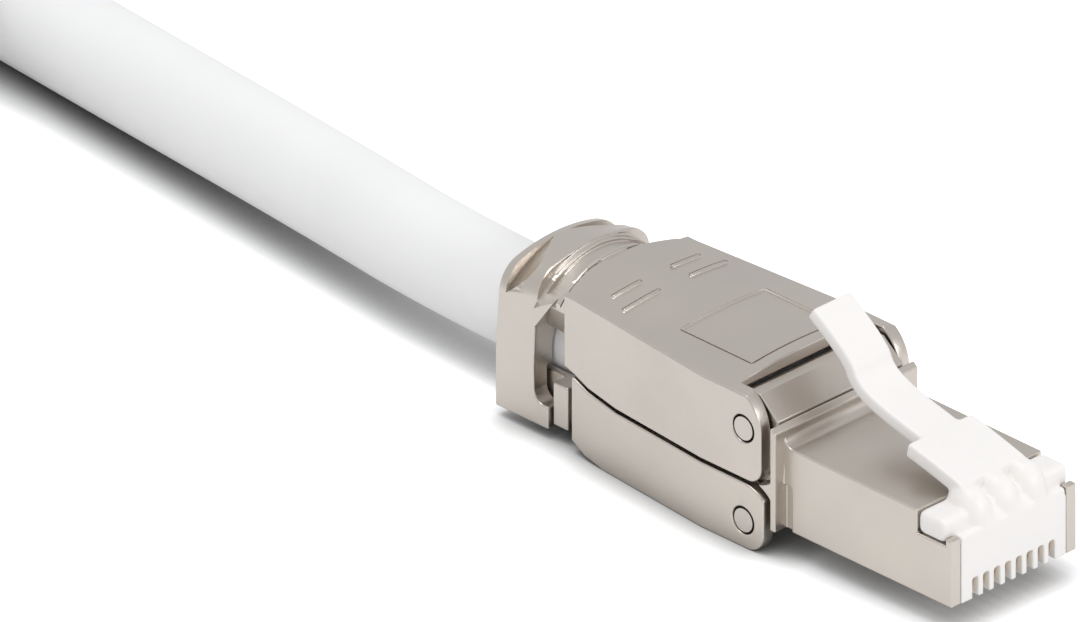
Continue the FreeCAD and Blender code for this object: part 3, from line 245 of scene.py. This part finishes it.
def bumped(material, shader, source, strength, distance):
    bump = add_node(material, "ShaderNodeBump")
    bump.inputs["Strength"].default_value = strength
    bump.inputs["Distance"].default_value = distance
    link(material, source, bump.inputs["Height"])
    link(material, bump.outputs["Normal"], shader.inputs["Normal"])


def satin_nickel():
    """Tumbled casting under nickel: warm grey, a fine orange peel and cloudy gloss."""
    material, shader = new_material("satin_nickel", (0.61, 0.56, 0.51), roughness=0.34, metallic=1.0)
    cloud = grain(material, scale=260, detail=4)
    link(material, spread(material, cloud, low=0.28, high=0.38), shader.inputs["Roughness"])
    tones = tint(material, grain(material, scale=90, detail=2),
                 dark=(0.585, 0.54, 0.495), light=(0.635, 0.585, 0.53))
    link(material, tones, shader.inputs["Base Color"])
    bumped(material, shader, grain(material, scale=5200, detail=2), strength=0.22, distance=0.00004)
    return material


def bright_steel():
    """Turned pins, a little brighter than the castings."""
    material, shader = new_material("bright_steel", (0.59, 0.555, 0.51), roughness=0.3, metallic=1.0)
    gloss = spread(material, grain(material, scale=900), low=0.26, high=0.36)
    link(material, gloss, shader.inputs["Roughness"])
    return material


def white_plastic():
    """Moulded plastic with a soft gloss and light that seeps a little."""
    material, shader = new_material("white_plastic", (0.865, 0.84, 0.82), roughness=0.38)
    shader.inputs["Subsurface Weight"].default_value = 0.1
    shader.inputs["Subsurface Radius"].default_value = (0.0012, 0.0009, 0.0007)
    shader.inputs["Subsurface Scale"].default_value = 1.0
    gloss = spread(material, grain(material, scale=1500), low=0.34, high=0.44)
    link(material, gloss, shader.inputs["Roughness"])
    bumped(material, shader, grain(material, scale=3000, detail=2), strength=0.08, distance=0.00003)
    return material


def gold_plate():
    """The plating of the eight contacts."""
    material, shader = new_material("gold_plate", (0.90, 0.68, 0.32), roughness=0.22, metallic=1.0)
    gloss = spread(material, grain(material, scale=2500), low=0.18, high=0.28)
    link(material, gloss, shader.inputs["Roughness"])
    return material


def terminal_bronze():
    """Stamped spring metal of the blades that grip the wires."""
    material, shader = new_material("terminal_bronze", (0.76, 0.58, 0.38), roughness=0.3, metallic=1.0)
    gloss = spread(material, grain(material, scale=2500), low=0.24, high=0.36)
    link(material, gloss, shader.inputs["Roughness"])
    return material


def board_laminate():
    """The circuit board's green lacquer."""
    material, shader = new_material("board_laminate", (0.03, 0.16, 0.07), roughness=0.45)
    tones = tint(material, grain(material, scale=3500, detail=1),
                 dark=(0.026, 0.14, 0.06), light=(0.035, 0.18, 0.08))
    link(material, tones, shader.inputs["Base Color"])
    return material


def block_plastic():
    """Plain moulded plastic of the terminal blocks and wire holders."""
    material, shader = new_material("block_plastic", (0.80, 0.79, 0.75), roughness=0.5)
    bumped(material, shader, grain(material, scale=3000, detail=2), strength=0.1, distance=0.00003)
    return material


def cable_jacket():
    """White sheath, matt with a faint drawn texture."""
    material, shader = new_material("cable_jacket", (0.88, 0.88, 0.88), roughness=0.6)
    tones = tint(material, grain(material, scale=160, detail=3),
                 dark=(0.87, 0.87, 0.87), light=(0.89, 0.89, 0.89))
    link(material, tones, shader.inputs["Base Color"])
    bumped(material, shader, grain(material, scale=2600, detail=2), strength=0.1, distance=0.00004)
    return material


def wire_skin(name, colour, second=None):
    """Wire insulation in one colour, or with bands of a second one along the wire."""
    material, shader = new_material(name, colour, roughness=0.45)
    if second is not None:
        place = add_node(material, "ShaderNodeTexCoord")
        bands = add_node(material, "ShaderNodeTexWave", bands_direction="X")
        bands.inputs["Scale"].default_value = STRIPE_SCALE
        link(material, place.outputs["Object"], bands.inputs["Vector"])
        ramp = add_node(material, "ShaderNodeValToRGB")
        ramp.color_ramp.interpolation = "CONSTANT"
        ramp.color_ramp.elements[0].color = (*colour, 1)
        ramp.color_ramp.elements[1].position = STRIPE_START
        ramp.color_ramp.elements[1].color = (*second, 1)
        link(material, bands.outputs["Fac"], ramp.inputs["Fac"])
        link(material, ramp.outputs["Color"], shader.inputs["Base Color"])
    return material


NICKEL = satin_nickel()
STEEL = bright_steel()
WHITE = white_plastic()
GOLD = gold_plate()
BRONZE = terminal_bronze()
BOARD = board_laminate()
BLOCK = block_plastic()
JACKET = cable_jacket()
FINISHES = {
    "hinge_steel": STEEL,
    "cast_shell": NICKEL,
    "white_insert": WHITE,
    "contact_gold": GOLD,
    "terminal_bronze": BRONZE,
    "board_laminate": BOARD,
    "terminal_plastic": BLOCK,
    "wire_insulation": BLOCK,
    "cable_jacket": JACKET,
}


# The metal shells


def own_copy(name, node):
    """The CAD node's mesh as a new piece, with its doubles merged and its flats made whole."""
    piece = bpy.data.objects.new(name, frame["nodes"][node].data.copy())
    bpy.context.scene.collection.objects.link(piece)
    pick(piece)
    bpy.ops.object.mode_set(mode="EDIT")
    bpy.ops.mesh.select_all(action="SELECT")
    bpy.ops.mesh.remove_doubles(threshold=DOUBLES)
    bpy.ops.mesh.dissolve_limited(angle_limit=FLAT)
    bpy.ops.object.mode_set(mode="OBJECT")
    return piece


def lies_in(edge, room):
    """Whether an end of the edge is in a room."""
    low, high = room
    ends = [(abs(corner.co.y), corner.co.x, corner.co.z) for corner in edge.verts]
    return any(all(a * MM < b < c * MM for a, b, c in zip(low, end, high)) for end in ends)


def mark_edges(piece):
    """Sharp edges are marked for rounding, but not where they lie too close."""
    form = bmesh.new()
    form.from_mesh(piece.data)
    marks = form.edges.layers.float.new("bevel_weight_edge")
    for edge in form.edges:
        if not edge.is_manifold or edge.calc_face_angle() < SHARP:
            continue
        edge[marks] = 0 if lies_in(edge, UNDER_NECK) or lies_in(edge, POCKETS) else 1
    form.to_mesh(piece.data)
    form.free()


def crease_pockets(piece):
    """The pockets' shallow borders keep a crisp line."""
    form = bmesh.new()
    form.from_mesh(piece.data)
    for edge in form.edges:
        if edge.is_manifold and edge.calc_face_angle() > FACET and lies_in(edge, POCKETS):
            edge.smooth = False
    form.to_mesh(piece.data)
    form.free()


def rounded_shell(name, node, width):
    """A casting with its edges rounded as tumbling leaves them."""
    piece = own_copy(name, node)
    mark_edges(piece)
    bevel = piece.modifiers.new("edges", "BEVEL")
    bevel.width = width
    bevel.segments = SHELL_EDGE_STEPS
    bevel.limit_method = "WEIGHT"
    bevel.use_clamp_overlap = False
    bevel.miter_outer = "MITER_ARC"
    apply_modifiers(piece)
    bpy.ops.object.shade_smooth_by_angle(angle=SMOOTH)
    crease_pockets(piece)
    even = piece.modifiers.new("even", "WEIGHTED_NORMAL")
    even.keep_sharp = True
    apply_modifiers(piece)
    paint(piece, NICKEL)
    return piece


def block(name, low, high, round_over):
    """A block between two corners in millimetres, with its edges rounded."""
    deselect()
    low, high = Vector(low) * MM, Vector(high) * MM
    bpy.ops.mesh.primitive_cube_add(size=1, location=(low + high) / 2)
    piece = bpy.context.active_object
    piece.name = name
    piece.scale = high - low
    apply_place()
    bevel = piece.modifiers.new("edges", "BEVEL")
    bevel.width = round_over * MM
    bevel.segments = BLOCK_EDGE_STEPS
    apply_modifiers(piece)
    return piece


def add_lips(shell):
    """The low lips that close the housing's notches at the front."""
    low, high = LIP
    lips = []
    for side in (-1, 1):
        near, far = sorted((side * low[1], side * high[1]))
        lips.append(block("front_lip", (low[0], near, low[2]), (high[0], far, high[2]), LIP_EDGE))
        paint(lips[-1], NICKEL)
    merge([shell] + lips)


# The white moulding: contact insert, latch bar and latch lever in one


def ribbon(name, line, width, thickness):
    """A strip that follows a smooth line in the plug's middle plane."""
    curve = bpy.data.curves.new(name, "CURVE")
    spline = curve.splines.new("NURBS")
    spline.points.add(len(line) - 1)
    for knot, (x, z) in zip(spline.points, line):
        knot.co = (x * MM, z * MM, 0, 1)
    spline.order_u = LINE_ORDER
    spline.use_endpoint_u = True
    curve.resolution_u = RIBBON_STEPS
    curve.extrude = width * MM / 2
    piece = bpy.data.objects.new(name, curve)
    bpy.context.scene.collection.objects.link(piece)
    piece.rotation_euler = (math.radians(90), 0, 0)
    pick(piece)
    bpy.ops.object.convert(target="MESH")
    apply_place()
    solid = piece.modifiers.new("thickness", "SOLIDIFY")
    solid.thickness = thickness * MM
    solid.offset = 0
    apply_modifiers(piece)
    return piece


def dome(name, centre, radii):
    """A rounded lump, in millimetres."""
    deselect()
    bpy.ops.mesh.primitive_uv_sphere_add(segments=48, ring_count=24, radius=1, location=Vector(centre) * MM)
    piece = bpy.context.active_object
    piece.name = name
    piece.scale = Vector(radii) * MM
    apply_place()
    return piece


def wedge(name, profile, half_width):
    """A side profile drawn out across the plug."""
    deselect()
    bpy.ops.mesh.primitive_circle_add(vertices=len(profile), fill_type="NGON")
    piece = bpy.context.active_object
    piece.name = name
    for corner, (x, z) in zip(piece.data.vertices, profile):
        corner.co = (x * MM, -half_width * MM, z * MM)
    bpy.ops.object.mode_set(mode="EDIT")
    bpy.ops.mesh.select_all(action="SELECT")
    bpy.ops.mesh.extrude_region_move(TRANSFORM_OT_translate={"value": (0, 2 * half_width * MM, 0)})
    bpy.ops.mesh.select_all(action="SELECT")
    bpy.ops.mesh.normals_make_consistent(inside=False)
    bpy.ops.object.mode_set(mode="OBJECT")
    return piece


def run_together(piece, rounds):
    """Overlapping forms become one skin on a fine grid, and are eased."""
    grid = piece.modifiers.new("grid", "REMESH")
    grid.mode = "VOXEL"
    grid.voxel_size = VOXEL
    ease = piece.modifiers.new("ease", "SMOOTH")
    ease.factor = 0.5
    ease.iterations = rounds
    apply_modifiers(piece)


def make_moulding():
    """The latch is run together and eased, then run together with the insert as a mould leaves them."""
    latch = [block(name, *form) for name, form in LATCH_BLOCKS.items()]
    latch.append(wedge("lobe_floor", LOBE_FLOOR, LOBE_FLOOR_HALF))
    for n, place in enumerate(LOBE_PLACES):
        latch.append(dome(f"lobe_{n}", (LOBE_CENTRE[0], place, LOBE_CENTRE[1]), LOBE_RADII))
    latch.append(ribbon("latch_root", ROOT_LINE, ROOT_WIDTH, ROOT_THICKNESS))
    latch.append(ribbon("latch_strap", LEVER_LINE, LEVER_WIDTH, LEVER_THICKNESS))
    merge(latch)
    run_together(latch[0], LATCH_EASE)
    moulding = own_copy("insert_and_latch", "contact_carrier")
    merge([moulding, latch[0]])
    run_together(moulding, JOINT_EASE)
    thin = moulding.modifiers.new("thin", "DECIMATE")
    thin.ratio = FACES_KEPT
    apply_modifiers(moulding)
    bpy.ops.object.shade_smooth()
    paint(moulding, WHITE)
    return moulding


# The bodies and the far plug


def twin(name, piece):
    """The same piece on the far plug."""
    mesh = piece.data.copy()
    mesh.transform(Matrix.Translation(FAR_SHIFT))
    other = bpy.data.objects.new(name, mesh)
    bpy.context.scene.collection.objects.link(other)
    return other


def stand_for(piece, finish, body, *nodes):
    """A dressed piece takes its CAD nodes' place on a body."""
    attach(piece, body)
    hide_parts(*nodes)


def flex_for(piece, latch, *nodes):
    """The moulding takes its CAD nodes' place: they are hidden, and its placing is baked into its mesh."""
    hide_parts(*nodes)
    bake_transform(piece)


# The lead


def lead_points():
    """The run behind the collar, one and a half turns that climb over themselves, and the tail."""
    points = [(PLUG_BACK + x * MM, y * MM, z * MM) for x, y, z in RUN_ROUTE[:-1]]
    centre_x = PLUG_BACK + COIL_CENTRE[0] * MM
    centre_y = COIL_CENTRE[1] * MM
    last = int(COIL_TURNS * COIL_STEPS)
    for step in range(last + 1):
        angle = math.radians(90) + 2 * math.pi * step / COIL_STEPS
        climb = min(1, max(0, (step - COIL_STEPS * CLIMB_START) / (COIL_STEPS * CLIMB_TURNS)))
        height = COIL_LOW + (COIL_HIGH - COIL_LOW) * climb
        points.append((centre_x + COIL_RADIUS * MM * math.cos(angle),
                       centre_y + COIL_RADIUS * MM * math.sin(angle), height * MM))
    points += [(PLUG_BACK + x * MM, y * MM, z * MM) for x, y, z in TAIL_ROUTE[1:]]
    return points


def make_lead():
    """One smooth round line through the lead's points, into the far plug."""
    points = lead_points()
    curve = bpy.data.curves.new("lead", "CURVE")
    curve.dimensions = "3D"
    spline = curve.splines.new("NURBS")
    spline.points.add(len(points) - 1)
    for knot, point in zip(spline.points, points):
        knot.co = (*point, 1)
    spline.order_u = LINE_ORDER
    spline.use_endpoint_u = True
    curve.resolution_u = LEAD_STEPS
    curve.bevel_depth = CABLE_DIAMETER / 2
    curve.bevel_resolution = LEAD_ROUND_STEPS
    curve.use_fill_caps = True
    lead = bpy.data.objects.new("lead", curve)
    bpy.context.scene.collection.objects.link(lead)
    curve.materials.append(JACKET)
    return lead


# The scene round the plug


def make_camera():
    data = bpy.data.cameras.new("camera")
    data.type = "ORTHO"
    data.ortho_scale = VIEW_WIDTH
    data.clip_start = 0.01
    data.clip_end = 5
    camera = bpy.data.objects.new("camera", data)
    bpy.context.scene.collection.objects.link(camera)
    toward = Vector((math.sin(VIEW_AZIMUTH) * math.cos(VIEW_HEIGHT),
                     -math.cos(VIEW_AZIMUTH) * math.cos(VIEW_HEIGHT), math.sin(VIEW_HEIGHT)))
    camera.location = VIEW_TARGET + toward * VIEW_DISTANCE
    camera.rotation_euler = toward.to_track_quat("Z", "Y").to_euler()
    bpy.context.scene.camera = camera


def make_floor():
    """A white table that darkens only close to the plug, and shows white to the camera and in gloss."""
    deselect()
    bpy.ops.mesh.primitive_plane_add(size=4)
    floor = bpy.context.active_object
    floor.name = "floor"
    material, shader = new_material("white_table", FLOOR_COLOUR, roughness=0.9)
    shader.inputs["Specular IOR Level"].default_value = 0.1
    shade = add_node(material, "ShaderNodeAmbientOcclusion", samples=12)
    shade.inputs["Color"].default_value = (*FLOOR_COLOUR, 1)
    shade.inputs["Distance"].default_value = CONTACT_SHADE
    link(material, shade.outputs["Color"], shader.inputs["Base Color"])
    deep = add_node(material, "ShaderNodeMath", operation="POWER")
    deep.inputs[1].default_value = CONTACT_DEPTH
    link(material, shade.outputs["AO"], deep.inputs[0])
    ray = add_node(material, "ShaderNodeLightPath")
    seen = add_node(material, "ShaderNodeMath", operation="MULTIPLY")
    seen.inputs[1].default_value = FLOOR_LIFT
    mirrored = add_node(material, "ShaderNodeMath", operation="MULTIPLY_ADD")
    mirrored.inputs[1].default_value = FLOOR_MIRROR_LIFT
    dimmed = add_node(material, "ShaderNodeMath", operation="MULTIPLY")
    shader.inputs["Emission Color"].default_value = (1, 1, 1, 1)
    link(material, ray.outputs["Is Camera Ray"], seen.inputs[0])
    link(material, ray.outputs["Is Glossy Ray"], mirrored.inputs[0])
    link(material, seen.outputs["Value"], mirrored.inputs[2])
    link(material, mirrored.outputs["Value"], dimmed.inputs[0])
    link(material, deep.outputs["Value"], dimmed.inputs[1])
    link(material, dimmed.outputs["Value"], shader.inputs["Emission Strength"])
    paint(floor, material)


def add_lamp(name, place, size, power):
    """A soft panel of light that faces the plug."""
    data = bpy.data.lights.new(name, "AREA")
    data.shape = "RECTANGLE"
    data.size, data.size_y = size
    data.energy = power
    lamp = bpy.data.objects.new(name, data)
    bpy.context.scene.collection.objects.link(lamp)
    lamp.location = place
    lamp.rotation_euler = Vector(place).to_track_quat("Z", "Y").to_euler()


def make_light():
    world = bpy.data.worlds.new("studio")
    bpy.context.scene.world = world
    world.use_nodes = True
    back = world.node_tree.nodes["Background"]
    back.inputs["Color"].default_value = (0.985, 0.99, 1.0, 1)
    back.inputs["Strength"].default_value = 0.725
    add_lamp("key", place=(-0.1, -0.15, 0.7), size=(0.3, 0.3), power=1.45)
    add_lamp("nose_side", place=(0.6, 0.1, 0.25), size=(0.4, 0.2), power=1.1)
    bpy.context.scene.view_settings.view_transform = "Standard"


make_camera()
make_floor()
make_light()

housing = rounded_shell("shield_housing", "housing", HOUSING_EDGE)
add_lips(housing)
upper_lid = rounded_shell("shield_upper_lid", "upper_lid", LID_EDGE)
lower_lid = rounded_shell("shield_lower_lid", "lower_lid", LID_EDGE)
moulding = make_moulding()

far_housing = twin("far_shield_housing", housing)
far_upper_lid = twin("far_shield_upper_lid", upper_lid)
far_lower_lid = twin("far_shield_lower_lid", lower_lid)
far_moulding = twin("far_insert_and_latch", moulding)

stand_for(housing, "cast_shell", "plug", "housing")
stand_for(upper_lid, "cast_shell", "upper_lid", "upper_lid")
stand_for(lower_lid, "cast_shell", "lower_lid", "lower_lid")
flex_for(moulding, "latch", "contact_carrier", "latch_base", "latch_lever")
stand_for(far_housing, "cast_shell", "plug", "far_housing")
stand_for(far_upper_lid, "cast_shell", "far_upper_lid", "far_upper_lid")
stand_for(far_lower_lid, "cast_shell", "far_lower_lid", "far_lower_lid")
flex_for(far_moulding, "far_latch", "far_contact_carrier", "far_latch_base", "far_latch_lever")

for part in frame["record"]["subparts"]:
    paint(frame["nodes"][part["node"]], FINISHES[part["material_slot"]])
for n, colours in enumerate(WIRE_COLOURS, start=1):
    wire = own_copy(f"round_wire_{n}", f"wire_{n}")
    bpy.ops.object.shade_smooth_by_angle(angle=WIRE_SMOOTH)
    paint(wire, wire_skin(f"wire_skin_{n}", *colours))
    far_wire = twin(f"far_round_wire_{n}", wire)
    stand_for(wire, "wire_insulation", "plug", f"wire_{n}")
    stand_for(far_wire, "wire_insulation", "plug", "far_wires")

lead = make_lead()
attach(lead, "plug")
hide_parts("cable_run", "cable_coil", "cable_tail")
